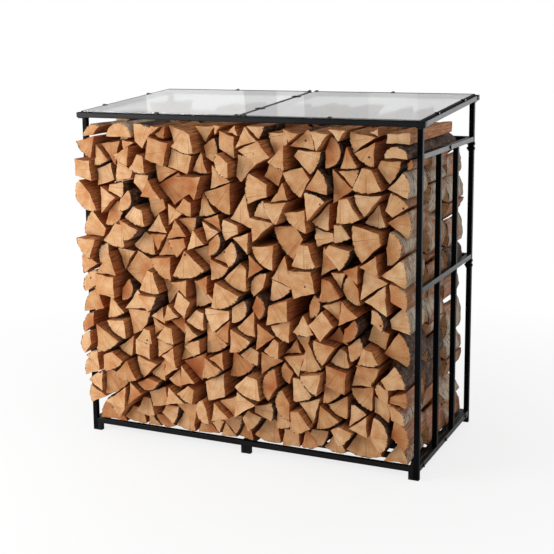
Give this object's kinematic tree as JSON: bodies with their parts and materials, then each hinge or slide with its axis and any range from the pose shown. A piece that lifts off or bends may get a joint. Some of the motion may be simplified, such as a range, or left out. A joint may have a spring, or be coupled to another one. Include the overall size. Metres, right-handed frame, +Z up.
{
  "type": "firewood log rack",
  "caption": "Free-standing firewood rack of black square steel tube with a sloping glazed roof, filled with stacked split logs.",
  "frame": {"origin": "on the ground, under the middle of the whole object's box, logs included", "axes": "+X to the right along the rack's width, seen from its open front; +Y to the back; +Z up"},
  "size_m": [1.43, 0.8249, 1.3697],
  "materials": {
    "black_powder_coat": "satin",
    "black_fastener": "satin",
    "black_plastic": "matte",
    "glazing_tape": "matte",
    "clear_glass": "polished",
    "split_firewood": "raw"
  },
  "bodies": {
    "root": {"back_mid_rail": "black_powder_coat", "back_rail_bolts": "black_fastener", "back_rail_end_plates": "black_powder_coat", "back_rail_nuts": "black_fastener", "back_row_logs": "split_firewood", "back_upper_rail": "black_powder_coat", "bottom_frame_legs": "black_powder_coat", "foot_caps": "black_plastic", "frame_bolts": "black_fastener", "frame_nuts": "black_fastener", "front_post_plugs": "black_plastic", "front_row_logs": "split_firewood", "left_back_post": "black_powder_coat", "left_bottom_back_rail": "black_powder_coat", "left_bottom_front_rail": "black_powder_coat", "left_bottom_inner_rail": "black_powder_coat", "left_bottom_outer_rail": "black_powder_coat", "left_bottom_side_rail": "black_powder_coat", "left_bottom_slats": "black_powder_coat", "left_front_post": "black_powder_coat", "left_lower_back_bar": "black_powder_coat", "left_lower_front_bar": "black_powder_coat", "left_mid_side_rail": "black_powder_coat", "left_roof_back_beam": "black_powder_coat", "left_roof_clips": "black_powder_coat", "left_roof_front_beam": "black_powder_coat", "left_roof_glass": "clear_glass", "left_roof_glazing_tape": "glazing_tape", "left_roof_inner_beam": "black_powder_coat", "left_roof_outer_beam": "black_powder_coat", "left_upper_back_bar": "black_powder_coat", "left_upper_front_bar": "black_powder_coat", "left_upper_side_rail": "black_powder_coat", "long_top_logs": "split_firewood", "middle_row_logs": "split_firewood", "right_back_post": "black_powder_coat", "right_bottom_back_rail": "black_powder_coat", "right_bottom_front_rail": "black_powder_coat", "right_bottom_inner_rail": "black_powder_coat", "right_bottom_outer_rail": "black_powder_coat", "right_bottom_side_rail": "black_powder_coat", "right_bottom_slats": "black_powder_coat", "right_front_post": "black_powder_coat", "right_lower_back_bar": "black_powder_coat", "right_lower_front_bar": "black_powder_coat", "right_mid_side_rail": "black_powder_coat", "right_roof_back_beam": "black_powder_coat", "right_roof_clips": "black_powder_coat", "right_roof_front_beam": "black_powder_coat", "right_roof_glass": "clear_glass", "right_roof_glazing_tape": "glazing_tape", "right_roof_inner_beam": "black_powder_coat", "right_roof_outer_beam": "black_powder_coat", "right_upper_back_bar": "black_powder_coat", "right_upper_front_bar": "black_powder_coat", "right_upper_side_rail": "black_powder_coat", "roof_beam_caps": "black_plastic", "roof_clip_screws": "black_fastener", "roof_seat_plates": "black_powder_coat", "roof_seat_screws": "black_fastener"}
  },
  "joints": []
}
